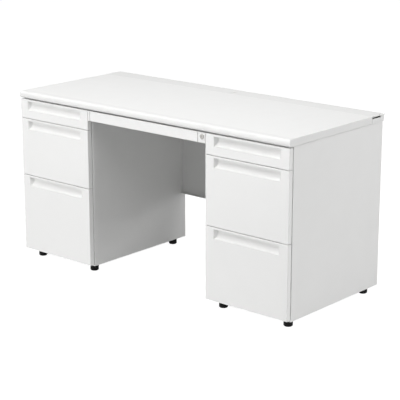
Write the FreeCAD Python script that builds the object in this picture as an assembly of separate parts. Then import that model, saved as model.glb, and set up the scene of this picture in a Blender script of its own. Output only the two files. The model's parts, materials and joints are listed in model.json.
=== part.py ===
"""Double-pedestal steel office desk: a laminated worktop with a soft front nosing and a lidded cable
trough along its back edge, carried by two sheet-steel pedestals of three drawers each, with a shallow
centre drawer and its lock between them, a modesty panel and eight levelling feet.

Millimetres. +X is the sitter's right, +Y goes away from the sitter, +Z is up.
The origin is on the floor, under the middle of the worktop.
"""
import FreeCAD, Part
import math
import os

# Overall size
DESK_WIDTH = 1400.0
DESK_DEPTH = 600.0
DESK_HEIGHT = 720.0

# Worktop
TOP_THICK = 28.0
END_BAND_THICK = 2.0
END_BAND_RADIUS = 1.2
NOSING_DEPTH = 30.0
NOSING_TOP_RADIUS = 11.0
NOSING_BOTTOM_RADIUS = 8.0
TONGUE_DEPTH = 8.0
TONGUE_THICK = 6.0
TONGUE_CLEARANCE = 0.15

# Cable trough and its lids
TROUGH_DEPTH = 85.0
TROUGH_SHEET = 1.5
TROUGH_LEDGE = 12.0
END_CAP_THICK = 6.0
END_CAP_SEAM = 1.6
LID_THICK = 4.0
LID_EDGE_RADIUS = 1.5
LID_GAP = 1.5
LID_SEAM = 3.0
BEAD_RADIUS = 2.5
BEAD_CLEARANCE = 0.1
BEAD_WEB = 1.6
BEAD_REAR_INSET = 5.0
CLIP_WALL = 1.6
CLIP_SINK = 0.4
CLIP_OPENING_MARGIN = 25.0
END_SLOT_LENGTH = 58.0
END_SLOT_HEIGHT = 6.0
END_SLOT_MARGIN = 2.0
CABLE_SLOT_LENGTH = 120.0
CABLE_SLOT_WIDTH = 30.0
CABLE_SLOT_MARGIN = 2.0
CABLE_SLOT_PITCH = 360.0

# Pedestals
PEDESTAL_WIDTH = 390.0
PEDESTAL_INSET = 2.0
PEDESTAL_REAR_INSET = 8.0
FLOOR_GAP = 33.0
TOP_SHADOW_GAP = 1.2
SHEET = 1.2
BEND_RADIUS = 2.0
POST_WIDTH = 15.0
FRONT_POST_DEPTH = 22.0
REAR_POST_DEPTH = 30.0
BACK_SHEET = 1.0
BACK_MARGIN = 4.0
PAN_SHEET = 1.5
PAN_UPSTAND = 15.0
RAIL_DEPTH = 30.0
RAIL_HEIGHT = 16.0
RAIL_SHEET = 1.5

# Levelling feet
FOOT_SIDES = 12
FOOT_RADIUS = 18.0
FOOT_BEVEL = 3.0
FOOT_HEIGHT = 20.0
STEM_RADIUS = 4.0
STEM_CLEARANCE = 0.05
STEM_PROUD = 2.5
NUT_SIDES = 6
COLLAR_RADIUS = 7.5
COLLAR_HEIGHT = 5.0
BOSS_RADIUS = 9.0
BOSS_HEIGHT = 12.0
FOOT_SIDE_INSET = 40.0
FOOT_FRONT_INSET = 62.0
FOOT_REAR_INSET = 40.0

# Drawer fronts, from the top of the pedestal downwards
FRONT_SETBACK = 4.0
FRONT_THICK = 20.0
FRONT_SHEET = 1.2
FRONT_EDGE_RADIUS = 1.6
FRONT_SIDE_INSET = 0.5
FRONT_REVEAL = 4.0
TOP_REVEAL = 5.0
FRONT_GAP = 2.2
FRONT_RISE = 7.0
TOP_FRONT_HEIGHT = 79.0
LEFT_MIDDLE_FRONT_HEIGHT = 240.0
RIGHT_MIDDLE_FRONT_HEIGHT = 271.5
BACK_WINDOW_MARGIN = 9.0

# Recessed pulls
PULL_SIDE_MARGIN = 40.0
PULL_HEIGHT = 39.0
PULL_DROP = 7.0
PULL_WALL = 1.5
PULL_BACK_CLEARANCE = 0.3
PULL_ROOF_CLEARANCE = 0.7
PULL_BACK_HEIGHT = 12.0
PULL_FLANGE = 4.0
PULL_FLANGE_THICK = 1.5
PULL_SEAM = 0.5

# Drawer boxes
BOX_SHEET = 1.2
BOX_REAR_CLEARANCE = 38.0
BOX_RISE = 14.0
TOP_BOX_DROP = 26.0
DEEP_BOX_DROP = 36.0
HEM_HEIGHT = 8.0

# Drawer slides
SLIDE_THICK = 12.7
SLIDE_SHEET = 1.2
SLIDE_CLEARANCE = 0.4
SLIDE_SETBACK = 6.0
SLIDE_REAR_CLEARANCE = 28.0
SMALL_SLIDE_HEIGHT = 35.0
FULL_SLIDE_HEIGHT = 45.0
TOP_SLIDE_RISE = 2.0
DEEP_SLIDE_RISE = 12.0
CABINET_FLANGE = 9.5
REAR_POST_LAP = 10.0

# Centre drawer, its rails and lock
CENTRE_FRONT_HEIGHT = 40.0
CENTRE_REAR_CLEARANCE = 136.0
CENTRE_BOX_RISE = 4.0
CENTRE_BOX_HEIGHT = 31.0
CENTRE_GAP = 2.0
CENTRE_SIDE_GAP = 1.5
FILLER_WIDTH = 10.0
LOCK_PLATE_WIDTH = 35.0
RAIL_WEB = 1.5
RAIL_SLOT_RISE = 3.0
RAIL_SLOT_HEIGHT = 10.0
RAIL_TOP_FLANGE = 20.0
RAIL_TAIL = 16.0
TRAY_SIDE_INSET = 9.5
RUNNER_CLEARANCE = 0.4
RUNNER_SETBACK = 18.0
LOCK_RISE = 24.0
LOCK_SIDE = 15.0
LOCK_BEZEL_LIP = 1.2
LOCK_BEZEL_THICK = 2.0
LOCK_BEZEL_ROUND = 0.8
LOCK_CASE_RADIUS = 8.5
LOCK_CASE_LENGTH = 28.0
LOCK_CASE_CLEARANCE = 0.1
PLUG_RADIUS = 6.0
PLUG_CLEARANCE = 0.05
PLUG_RECESS = 0.5
KEYWAY_WIDTH = 1.8
KEYWAY_HEIGHT = 7.5
KEYWAY_DEPTH = 5.0
CAM_REACH = 23.5
CAM_WIDTH = 10.0
CAM_THICK = 2.5
CAM_GAP = 2.0
CAM_SLOT_CLEARANCE = 2.0
KEEPER_SHEET = 1.5
KEEPER_HEIGHT = 14.0
KEEPER_LENGTH = 22.0
KEEPER_GAP = 1.5
KEEPER_CLEARANCE = 0.5

# Modesty panel
MODESTY_BOTTOM = 235.0
MODESTY_REAR_INSET = 14.0
MODESTY_FLANGE = 18.0
MODESTY_SHEET = 1.2

# Planes worked out from the sizes above
HALF_WIDTH = DESK_WIDTH / 2
TOP_FRONT_Y = -DESK_DEPTH / 2
TOP_REAR_Y = DESK_DEPTH / 2
NOSING_BACK_Y = TOP_FRONT_Y + NOSING_DEPTH
TOP_UNDERSIDE_Z = DESK_HEIGHT - TOP_THICK
TROUGH_FRONT_Y = TOP_REAR_Y - TROUGH_DEPTH
LID_UNDERSIDE_Z = DESK_HEIGHT - LID_THICK
PEDESTAL_OUTER_X = HALF_WIDTH - PEDESTAL_INSET
PEDESTAL_INNER_X = PEDESTAL_OUTER_X - PEDESTAL_WIDTH
FRONT_FACE_Y = TOP_FRONT_Y + FRONT_SETBACK
FRONT_SKIN_Y = FRONT_FACE_Y + FRONT_SHEET
FRONT_BACK_Y = FRONT_FACE_Y + FRONT_THICK
CARCASS_FRONT_Y = FRONT_BACK_Y + FRONT_REVEAL
CARCASS_REAR_Y = TOP_REAR_Y - PEDESTAL_REAR_INSET
MODESTY_REAR_Y = CARCASS_REAR_Y - MODESTY_REAR_INSET
MODESTY_FRONT_Y = MODESTY_REAR_Y - MODESTY_FLANGE
PANEL_TOP_Z = TOP_UNDERSIDE_Z - TOP_SHADOW_GAP
FRONT_TOP_Z = TOP_UNDERSIDE_Z - TOP_REVEAL
FRONT_BOTTOM_Z = FLOOR_GAP + FRONT_RISE
SIDE_SIGN = {"left": -1, "right": 1}


# Small tools for drawing in space


def vec(x, y, z):
    return FreeCAD.Vector(x, y, z)


def slab(x, y, z):
    """A block; each argument is (one end, other end) along that axis."""
    (x0, x1), (y0, y1), (z0, z1) = sorted(x), sorted(y), sorted(z)
    return Part.makeBox(x1 - x0, y1 - y0, z1 - z0, vec(x0, y0, z0))


def rod_y(x, z, radius, y):
    """A round bar along Y."""
    return Part.makeCylinder(radius, y[1] - y[0], vec(x, y[0], z), vec(0, 1, 0))


def rod_z(x, y, radius, z):
    """A round bar along Z."""
    return Part.makeCylinder(radius, z[1] - z[0], vec(x, y, z[0]), vec(0, 0, 1))


def line(start, end):
    return Part.LineSegment(start, end).toShape()


def arc(start, middle, end):
    return Part.Arc(start, middle, end).toShape()


def polyline(points):
    """Straight edges from each point to the next."""
    return [line(a, b) for a, b in zip(points, points[1:])]


def face_of(edges):
    return Part.Face(Part.Wire(Part.__sortEdges__(edges)))


def prism(points, along):
    """A closed outline of straight runs, pushed along a vector."""
    return face_of(polyline([*points, points[0]])).extrude(along)


def many_sided(x, y, z, sides, radius):
    """An upright bar with flat sides, such as a nut, measured to its corners."""
    turns = [2 * math.pi * (i + 0.5) / sides for i in range(sides)]
    corners = [vec(x + radius * math.cos(t), y + radius * math.sin(t), z[0]) for t in turns]
    return prism(corners, vec(0, 0, z[1] - z[0]))


def fused(*shapes):
    """Several shapes made one solid, without seams between faces in one plane."""
    return shapes[0].fuse(list(shapes[1:])).removeSplitter()


def near(a, b):
    return abs(a - b) < 1e-6


def edges_along(shape, axis, where):
    """The straight edges along an axis (0, 1 or 2) whose middle passes a test."""
    found = []
    for edge in shape.Edges:
        run = edge.Vertexes[-1].Point - edge.Vertexes[0].Point
        sideways = [abs(run[i]) for i in range(3) if i != axis]
        if near(run.Length, edge.Length) and near(max(sideways), 0) and where(edge.CenterOfMass):
            found.append(edge)
    return found


def save(name, *solids):
    """Writes one node: a solid, or a group of separate solids."""
    shape = solids[0] if len(solids) == 1 else Part.makeCompound(list(solids))
    shape.exportStep(os.path.join("parts", name + ".step"))
    print(name, len(shape.Solids), "solids,", round(shape.Volume / 1000, 1), "cm3")


# The worktop: a board, a rounded nosing along the front, a thin band on each end


def nosing_edges(x):
    """The rounded front of the worktop in the plane at x, from the top of its joint round to the bottom."""
    top, bottom = DESK_HEIGHT, TOP_UNDERSIDE_Z
    big, small = NOSING_TOP_RADIUS, NOSING_BOTTOM_RADIUS
    sagitta = 1 - math.sqrt(0.5)
    top_middle = vec(x, TOP_FRONT_Y + big * sagitta, top - big * sagitta)
    bottom_middle = vec(x, TOP_FRONT_Y + small * sagitta, bottom + small * sagitta)
    return [
        line(vec(x, NOSING_BACK_Y, top), vec(x, TOP_FRONT_Y + big, top)),
        arc(vec(x, TOP_FRONT_Y + big, top), top_middle, vec(x, TOP_FRONT_Y, top - big)),
        line(vec(x, TOP_FRONT_Y, top - big), vec(x, TOP_FRONT_Y, bottom + small)),
        arc(vec(x, TOP_FRONT_Y, bottom + small), bottom_middle, vec(x, TOP_FRONT_Y + small, bottom)),
        line(vec(x, TOP_FRONT_Y + small, bottom), vec(x, NOSING_BACK_Y, bottom)),
    ]


def tongue(side, clearance):
    """The nosing's tongue, or with a clearance the groove that takes it."""
    middle_z = TOP_UNDERSIDE_Z + TOP_THICK / 2
    half = TONGUE_THICK / 2 + clearance
    y = (NOSING_BACK_Y, NOSING_BACK_Y + TONGUE_DEPTH + clearance)
    return slab((-side, side), y, (middle_z - half, middle_z + half))


def make_worktop():
    side = HALF_WIDTH - END_BAND_THICK
    top, bottom = DESK_HEIGHT, TOP_UNDERSIDE_Z
    board = slab((-side, side), (NOSING_BACK_Y, TROUGH_FRONT_Y), (bottom, top))
    save("worktop_board", board.cut(tongue(side, TONGUE_CLEARANCE)))

    joint = line(vec(-side, NOSING_BACK_Y, bottom), vec(-side, NOSING_BACK_Y, top))
    nose = face_of([*nosing_edges(-side), joint]).extrude(vec(2 * side, 0, 0))
    save("front_nosing", fused(nose, tongue(side, 0)))

    bands = []
    for x in (-HALF_WIDTH, side):
        front, rear = NOSING_BACK_Y, TROUGH_FRONT_Y
        corners = [(front, bottom), (rear, bottom), (rear, top), (front, top)]
        edges = nosing_edges(x) + polyline([vec(x, y, z) for y, z in corners])
        band = face_of(edges).extrude(vec(END_BAND_THICK, 0, 0))
        outside = -HALF_WIDTH if x < 0 else HALF_WIDTH
        rim = [e for e in band.Edges if near(e.CenterOfMass.x, outside) and not near(e.CenterOfMass.y, rear)]
        bands.append(band.makeFillet(END_BAND_RADIUS, rim))
    save("worktop_end_bands", *bands)


# The cable trough: a channel behind the board whose rear wall ends in a hinge bead for two lids

HINGE_Y = TOP_REAR_Y - BEAD_REAR_INSET
CLIP_BORE = BEAD_RADIUS + BEAD_CLEARANCE
CLIP_RADIUS = CLIP_BORE + CLIP_WALL
HINGE_Z = LID_UNDERSIDE_Z + CLIP_SINK - CLIP_RADIUS
TROUGH_SIDE_X = HALF_WIDTH - END_CAP_THICK


def cable_slot(x):
    """An obround hole through the trough's floor, where cables drop in front of the modesty panel."""
    half = CABLE_SLOT_WIDTH / 2
    straight = CABLE_SLOT_LENGTH / 2 - half
    middle_y = MODESTY_FRONT_Y - CABLE_SLOT_MARGIN - half
    z = (TOP_UNDERSIDE_Z, TOP_UNDERSIDE_Z + TROUGH_SHEET)
    middle = slab((x - straight, x + straight), (middle_y - half, middle_y + half), z)
    return fused(middle, *[rod_z(x + end, middle_y, half, z) for end in (-straight, straight)])


def trough_profile():
    """The bent sheet seen from its end: ledge, front wall, floor and rear web."""
    front, sheet = TROUGH_FRONT_Y, TROUGH_SHEET
    floor, ledge = TOP_UNDERSIDE_Z, LID_UNDERSIDE_Z
    web_front, web_rear = HINGE_Y - BEAD_WEB / 2, HINGE_Y + BEAD_WEB / 2
    return [
        (front, floor), (web_rear, floor), (web_rear, HINGE_Z), (web_front, HINGE_Z),
        (web_front, floor + sheet), (front + sheet, floor + sheet), (front + sheet, ledge - sheet),
        (front + TROUGH_LEDGE, ledge - sheet), (front + TROUGH_LEDGE, ledge), (front, ledge),
    ]


def make_trough():
    side = TROUGH_SIDE_X
    channel = prism([vec(-side, y, z) for y, z in trough_profile()], vec(2 * side, 0, 0))
    bead = Part.makeCylinder(BEAD_RADIUS, 2 * side, vec(-side, HINGE_Y, HINGE_Z), vec(1, 0, 0))
    trough = fused(channel, bead)
    for x in (-CABLE_SLOT_PITCH / 2, CABLE_SLOT_PITCH / 2):
        trough = trough.cut(cable_slot(x))
    save("cable_trough", trough)

    caps = []
    slot_bottom = LID_UNDERSIDE_Z - END_SLOT_HEIGHT
    slot_front = TROUGH_FRONT_Y + END_SLOT_MARGIN
    for x in ((-HALF_WIDTH, -side), (side, HALF_WIDTH)):
        cap = slab(x, (TROUGH_FRONT_Y + END_CAP_SEAM, HINGE_Y), (TOP_UNDERSIDE_Z, LID_UNDERSIDE_Z))
        slot = slab(x, (slot_front, slot_front + END_SLOT_LENGTH), (slot_bottom, LID_UNDERSIDE_Z))
        low_edges = edges_along(slot, 0, lambda p: near(p.z, slot_bottom))
        caps.append(cap.cut(slot.makeFillet(END_SLOT_HEIGHT / 2, low_edges)))
    save("trough_end_caps", *caps)


def clip(x0, x1):
    """The open ring under a lid that snaps over the trough's bead and turns on it."""
    def on_ring(radius, degrees):
        turn = math.radians(degrees)
        return vec(x0, HINGE_Y + radius * math.cos(turn), HINGE_Z + radius * math.sin(turn))

    start, end = CLIP_OPENING_MARGIN, 270 - CLIP_OPENING_MARGIN
    middle = (start + end) / 2
    edges = [
        arc(on_ring(CLIP_RADIUS, start), on_ring(CLIP_RADIUS, middle), on_ring(CLIP_RADIUS, end)),
        line(on_ring(CLIP_RADIUS, end), on_ring(CLIP_BORE, end)),
        arc(on_ring(CLIP_BORE, end), on_ring(CLIP_BORE, middle), on_ring(CLIP_BORE, start)),
        line(on_ring(CLIP_BORE, start), on_ring(CLIP_RADIUS, start)),
    ]
    return face_of(edges).extrude(vec(x1 - x0, 0, 0))


def make_lids():
    for name, sign in SIDE_SIGN.items():
        seam_x = sign * LID_SEAM / 2
        plate = slab((seam_x, sign * HALF_WIDTH), (TROUGH_FRONT_Y + LID_GAP, TOP_REAR_Y),
                     (LID_UNDERSIDE_Z, DESK_HEIGHT))
        top_edges = [e for e in plate.Edges if near(e.CenterOfMass.z, DESK_HEIGHT)]
        plate = plate.makeFillet(LID_EDGE_RADIUS, top_edges)
        clip_ends = sorted((seam_x, sign * (TROUGH_SIDE_X - LID_SEAM)))
        save("cable_lid_" + name, fused(plate, clip(*clip_ends)))


# The pedestals' carcasses


def across(side, inset):
    """The X place at a distance in from a pedestal's outer face."""
    return SIDE_SIGN[side] * (PEDESTAL_OUTER_X - inset)


def across_range(side, start, end):
    return sorted((across(side, start), across(side, end)))


def side_panel(side, outer):
    """One folded sheet: a wall whose front and rear edges are bent into posts."""
    def x(inset):
        return across(side, inset if outer else PEDESTAL_WIDTH - inset)

    front, rear = CARCASS_FRONT_Y, CARCASS_REAR_Y
    fold = POST_WIDTH - SHEET
    profile = [
        (0, front), (POST_WIDTH, front), (POST_WIDTH, front + FRONT_POST_DEPTH),
        (fold, front + FRONT_POST_DEPTH), (fold, front + SHEET), (SHEET, front + SHEET),
        (SHEET, rear - SHEET), (fold, rear - SHEET), (fold, rear - REAR_POST_DEPTH),
        (POST_WIDTH, rear - REAR_POST_DEPTH), (POST_WIDTH, rear), (0, rear),
    ]
    height = vec(0, 0, PANEL_TOP_Z - FLOOR_GAP)
    panel = prism([vec(x(inset), y, FLOOR_GAP) for inset, y in profile], height)
    return panel.makeFillet(BEND_RADIUS, edges_along(panel, 2, lambda p: near(p.x, x(0))))


def foot_places(side):
    """The four feet of a pedestal, as name, x and y."""
    depths = {"front": FRONT_FACE_Y + FOOT_FRONT_INSET, "rear": CARCASS_REAR_Y - FOOT_REAR_INSET}
    insets = {"outer": FOOT_SIDE_INSET, "inner": PEDESTAL_WIDTH - FOOT_SIDE_INSET}
    return [
        (f"foot_{side}_{depth}_{edge}", across(side, inset), y)
        for depth, y in depths.items() for edge, inset in insets.items()
    ]


def base_pan(side):
    """The pedestal's floor: a shallow tray between the posts, with a welded nut for each foot."""
    x = across_range(side, POST_WIDTH, PEDESTAL_WIDTH - POST_WIDTH)
    y = (CARCASS_FRONT_Y, CARCASS_REAR_Y)
    floor, rim = FLOOR_GAP + PAN_SHEET, FLOOR_GAP + PAN_UPSTAND
    boss_z = (FLOOR_GAP, floor + BOSS_HEIGHT)
    hollow = slab((x[0] + PAN_SHEET, x[1] - PAN_SHEET), (y[0] + PAN_SHEET, y[1] - PAN_SHEET), (floor, rim))
    pan = slab(x, y, (FLOOR_GAP, rim)).cut(hollow)
    for _, foot_x, foot_y in foot_places(side):
        boss = many_sided(foot_x, foot_y, boss_z, NUT_SIDES, BOSS_RADIUS)
        pan = pan.fuse(boss).cut(rod_z(foot_x, foot_y, STEM_RADIUS + STEM_CLEARANCE, boss_z))
    return pan.removeSplitter()


def top_rail(corner, across_rail, along):
    """A folded channel, open underneath: from a corner, its width across and its run."""
    width, top = across_rail.Length, TOP_UNDERSIDE_Z
    unit = across_rail.normalize()
    profile = [
        (0, RAIL_HEIGHT), (0, 0), (width, 0), (width, RAIL_HEIGHT), (width - RAIL_SHEET, RAIL_HEIGHT),
        (width - RAIL_SHEET, RAIL_SHEET), (RAIL_SHEET, RAIL_SHEET), (RAIL_SHEET, RAIL_HEIGHT),
    ]
    start = vec(corner[0], corner[1], top)
    return prism([start + unit * w - vec(0, 0, drop) for w, drop in profile], along)


def top_frame(side):
    """The four rails under the worktop that tie a pedestal's panels together and carry the top."""
    x = across_range(side, POST_WIDTH, PEDESTAL_WIDTH - POST_WIDTH)
    front, rear = CARCASS_FRONT_Y, CARCASS_REAR_Y - RAIL_DEPTH
    run_x, run_y = vec(x[1] - x[0], 0, 0), vec(0, rear - front - RAIL_DEPTH, 0)
    rails = [top_rail((x[0], y), vec(0, RAIL_DEPTH, 0), run_x) for y in (front, rear)]
    for start in (x[0], x[1] - RAIL_DEPTH):
        rails.append(top_rail((start, front + RAIL_DEPTH), vec(RAIL_DEPTH, 0, 0), run_y))
    return rails


def make_carcasses():
    backs, pans, rails = [], [], []
    for side in SIDE_SIGN:
        save(side + "_outer_side_panel", side_panel(side, True))
        save(side + "_inner_side_panel", side_panel(side, False))
        backs.append(slab(across_range(side, BACK_MARGIN, PEDESTAL_WIDTH - BACK_MARGIN),
                          (CARCASS_REAR_Y, CARCASS_REAR_Y + BACK_SHEET),
                          (FLOOR_GAP + BACK_MARGIN, PANEL_TOP_Z - BACK_MARGIN)))
        pans.append(base_pan(side))
        rails.extend(top_frame(side))
    save("pedestal_back_panels", *backs)
    save("pedestal_base_pans", *pans)
    save("pedestal_top_rails", *rails)


def foot_solid(x, y):
    """A moulded foot: a many-sided grip with a bevelled sole, spanner flats and a threaded stem above."""
    grip = many_sided(x, y, (0, FOOT_HEIGHT), FOOT_SIDES, FOOT_RADIUS)
    sole_edges = [e for e in grip.Edges if near(e.CenterOfMass.z, 0)]
    collar_top = FOOT_HEIGHT + COLLAR_HEIGHT
    stem_top = FLOOR_GAP + PAN_SHEET + BOSS_HEIGHT + STEM_PROUD
    return fused(
        grip.makeChamfer(FOOT_BEVEL, sole_edges),
        many_sided(x, y, (FOOT_HEIGHT, collar_top), NUT_SIDES, COLLAR_RADIUS),
        rod_z(x, y, STEM_RADIUS, (FOOT_HEIGHT, stem_top)),
    )


def make_feet():
    for side in SIDE_SIGN:
        for name, x, y in foot_places(side):
            save(name, foot_solid(x, y))


# Drawer fronts and their recessed pulls

PULL_WIDTH = PEDESTAL_WIDTH - 2 * PULL_SIDE_MARGIN
PULL_DEPTH = FRONT_THICK - FRONT_SHEET - PULL_WALL - PULL_BACK_CLEARANCE
PULL_HOOK = PULL_DROP - FRONT_SHEET - PULL_WALL - PULL_ROOF_CLEARANCE
PULL_LIP = FRONT_SHEET + PULL_FLANGE_THICK


def front_pan(x, z, window_x, window_z):
    """A front of sheet folded into a hollow panel, open behind where the drawer box closes it."""
    sheet = FRONT_SHEET
    pan = slab(x, (FRONT_FACE_Y, FRONT_BACK_Y), z)
    pan = pan.makeFillet(FRONT_EDGE_RADIUS, [e for e in pan.Edges if near(e.CenterOfMass.y, FRONT_FACE_Y)])
    inside_y = (FRONT_SKIN_Y, FRONT_BACK_Y - sheet)
    pan = pan.cut(slab((x[0] + sheet, x[1] - sheet), inside_y, (z[0] + sheet, z[1] - sheet)))
    return pan.cut(slab(window_x, (inside_y[1], FRONT_BACK_Y), window_z))


def pull_mouth(x, front_top, margin):
    """The rectangle of a pull's mouth as x and z ranges, widened all round by a margin."""
    half = PULL_WIDTH / 2 + margin
    top = front_top - PULL_DROP
    return (x - half, x + half), (top - PULL_HEIGHT - margin, top + margin)


def scoop(x, front_top, wall):
    """The hollow that the fingers enter: a hook behind the lip, a flat back and a floor that curves out.
    With a wall it is the same form grown by that thickness: the outside of the moulding."""
    face = FRONT_FACE_Y
    mouth_top = front_top - PULL_DROP + wall
    bottom = front_top - PULL_DROP - PULL_HEIGHT + PULL_WALL - wall
    bend = front_top - PULL_DROP - PULL_BACK_HEIGHT
    lip, back = face + PULL_LIP - wall, face + PULL_DEPTH + wall
    roof = mouth_top + PULL_HOOK
    bulge = math.sqrt(0.5)

    def at(y, z):
        return vec(x[0], y, z)

    belly = at(face + (back - face) * bulge, bend - (bend - bottom) * bulge)
    edges = polyline([at(face, bottom), at(face, mouth_top), at(lip, mouth_top), at(lip, roof),
                      at(back, roof), at(back, bend)])
    edges.append(arc(at(back, bend), belly, at(face, bottom)))
    return face_of(edges).extrude(vec(x[1] - x[0], 0, 0))


def pull_solid(x, front_top):
    """A moulded pull: a thin-walled scoop set in the front, with a flange that clips behind the skin."""
    mouth_x, mouth_z = pull_mouth(x, front_top, 0)
    flange_x, flange_z = pull_mouth(x, front_top, PULL_FLANGE)
    body = scoop(mouth_x, front_top, PULL_WALL)
    skin = slab(flange_x, (FRONT_FACE_Y, FRONT_SKIN_Y), flange_z)
    rim = slab(mouth_x, (FRONT_FACE_Y, FRONT_SKIN_Y), mouth_z)
    flange = slab(flange_x, (FRONT_SKIN_Y, FRONT_SKIN_Y + PULL_FLANGE_THICK), flange_z)
    hollow_x = (mouth_x[0] + PULL_WALL, mouth_x[1] - PULL_WALL)
    return fused(body.cut(skin), rim, flange).cut(scoop(hollow_x, front_top, 0))


# Drawer boxes


def box_side(x_out, inward, y, z):
    """A side sheet with a closed hem folded inwards along its top edge."""
    wall = slab((x_out, x_out + inward * BOX_SHEET), y, z)
    hem_y = (y[0] + BOX_SHEET, y[1] - BOX_SHEET)
    hem = slab((x_out, x_out + 2 * inward * BOX_SHEET), hem_y, (z[1] - HEM_HEIGHT, z[1]))
    return fused(wall, hem)


def box_solids(x, y, z):
    """The five sheets of a drawer box: floor, two hemmed sides, front and back."""
    sheet = BOX_SHEET
    walls = (z[0] + sheet, z[1])
    inside = (x[0] + sheet, x[1] - sheet)
    return [
        slab(x, y, (z[0], walls[0])),
        box_side(x[0], 1, y, walls),
        box_side(x[1], -1, y, walls),
        slab(inside, (y[0], y[0] + sheet), walls),
        slab(inside, (y[1] - sheet, y[1]), walls),
    ]


# Drawer slides: steel channels that nest one in another

SLIDE_Y = (CARCASS_FRONT_Y + SLIDE_SETBACK, CARCASS_REAR_Y - REAR_POST_DEPTH - SLIDE_REAR_CLEARANCE)
CABINET_SLIDE_Y = (SLIDE_Y[0], CARCASS_REAR_Y - REAR_POST_DEPTH + REAR_POST_LAP)
SLIDE_STEP = SLIDE_SHEET + SLIDE_CLEARANCE


def nested(height):
    """The height of the channel that runs inside one of a given height."""
    return height - 2 * SLIDE_STEP


def channel_pair(side, web, tips, y, middle_z, height):
    """A C-shaped channel on each flank of a pedestal.
    web and tips are distances from the post's face: the back of the web, and the flanges' free edges."""
    sheet = SLIDE_SHEET if tips > web else -SLIDE_SHEET
    half = height / 2
    profile = [
        (web, -half), (tips, -half), (tips, SLIDE_SHEET - half), (web + sheet, SLIDE_SHEET - half),
        (web + sheet, half - SLIDE_SHEET), (tips, half - SLIDE_SHEET), (tips, half), (web, half),
    ]
    pair = []
    for flip in (False, True):
        insets = [(PEDESTAL_WIDTH - POST_WIDTH - d if flip else POST_WIDTH + d, z) for d, z in profile]
        points = [vec(across(side, inset), y[0], middle_z + z) for inset, z in insets]
        pair.append(prism(points, vec(0, y[1] - y[0], 0)))
    return pair


def drawer_fronts(side):
    """Each drawer's level and the z range of its front, from the top down."""
    middle_height = LEFT_MIDDLE_FRONT_HEIGHT if side == "left" else RIGHT_MIDDLE_FRONT_HEIGHT
    top_low = FRONT_TOP_Z - TOP_FRONT_HEIGHT
    middle_high = top_low - FRONT_GAP
    middle_low = middle_high - middle_height
    return {
        "top": (top_low, FRONT_TOP_Z),
        "middle": (middle_low, middle_high),
        "bottom": (FRONT_BOTTOM_Z, middle_low - FRONT_GAP),
    }


def make_slides(side, level, box_bottom):
    """Saves the slide members that ride with a drawer, and returns the pair fixed to the cabinet."""
    name = f"{side}_{level}"
    full = level == "bottom"
    height = FULL_SLIDE_HEIGHT if full else SMALL_SLIDE_HEIGHT
    rise = TOP_SLIDE_RISE if level == "top" else DEEP_SLIDE_RISE
    middle_z = box_bottom + rise + height / 2
    cabinet = channel_pair(side, 0, CABINET_FLANGE, CABINET_SLIDE_Y, middle_z, height)
    height, web = nested(height), SLIDE_STEP
    if full:
        save(name + "_middle_slides", *channel_pair(side, web, CABINET_FLANGE, SLIDE_Y, middle_z, height))
        height, web = nested(height), web + SLIDE_STEP
    save(name + "_drawer_slides", *channel_pair(side, SLIDE_THICK, web, SLIDE_Y, middle_z, height))
    return cabinet


def make_drawers(side):
    cabinet_slides = []
    front_x = across_range(side, FRONT_SIDE_INSET, PEDESTAL_WIDTH - FRONT_SIDE_INSET)
    box_inset = POST_WIDTH + SLIDE_THICK
    box_x = across_range(side, box_inset, PEDESTAL_WIDTH - box_inset)
    box_y = (FRONT_BACK_Y, CARCASS_REAR_Y - BOX_REAR_CLEARANCE)
    middle_x = sum(front_x) / 2
    margin = BACK_WINDOW_MARGIN
    for level, z in drawer_fronts(side).items():
        name = f"{side}_{level}"
        box_z = (z[0] + BOX_RISE, z[1] - (TOP_BOX_DROP if level == "top" else DEEP_BOX_DROP))
        window_x, window_z = [(low + margin, high - margin) for low, high in (box_x, box_z)]
        mouth_x, mouth_z = pull_mouth(middle_x, z[1], PULL_SEAM)
        mouth = slab(mouth_x, (FRONT_FACE_Y, FRONT_SKIN_Y), mouth_z)
        save(name + "_drawer_front", front_pan(front_x, z, window_x, window_z).cut(mouth))
        save(name + "_pull", pull_solid(middle_x, z[1]))
        save(name + "_drawer_box", *box_solids(box_x, box_y, box_z))
        cabinet_slides.extend(make_slides(side, level, box_z[0]))
    save(side + "_cabinet_slides", *cabinet_slides)


# The modesty panel, and the centre drawer in front of it with its rails and lock

CENTRE_BOTTOM_Z = FRONT_TOP_Z - CENTRE_FRONT_HEIGHT
CENTRE_X = (
    CENTRE_SIDE_GAP + FILLER_WIDTH + CENTRE_GAP - PEDESTAL_INNER_X,
    PEDESTAL_INNER_X - CENTRE_SIDE_GAP - LOCK_PLATE_WIDTH - CENTRE_GAP,
)
TRAY_X = (CENTRE_X[0] + TRAY_SIDE_INSET, CENTRE_X[1] - TRAY_SIDE_INSET)
TRAY_Y = (FRONT_BACK_Y, MODESTY_FRONT_Y - CENTRE_REAR_CLEARANCE)
TRAY_Z = (CENTRE_BOTTOM_Z + CENTRE_BOX_RISE, CENTRE_BOTTOM_Z + CENTRE_BOX_RISE + CENTRE_BOX_HEIGHT)
RUNNER_Y = (FRONT_BACK_Y + RUNNER_SETBACK, TRAY_Y[1])
SLOT_Z = (CENTRE_BOTTOM_Z + RAIL_SLOT_RISE, CENTRE_BOTTOM_Z + RAIL_SLOT_RISE + RAIL_SLOT_HEIGHT)
LOCK_X = PEDESTAL_INNER_X - CENTRE_SIDE_GAP - LOCK_SIDE
LOCK_Z = CENTRE_BOTTOM_Z + LOCK_RISE
LOCK_CASE_REAR_Y = FRONT_FACE_Y + LOCK_CASE_LENGTH
CAM_Y = (LOCK_CASE_REAR_Y + CAM_GAP, LOCK_CASE_REAR_Y + CAM_GAP + CAM_THICK)


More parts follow.
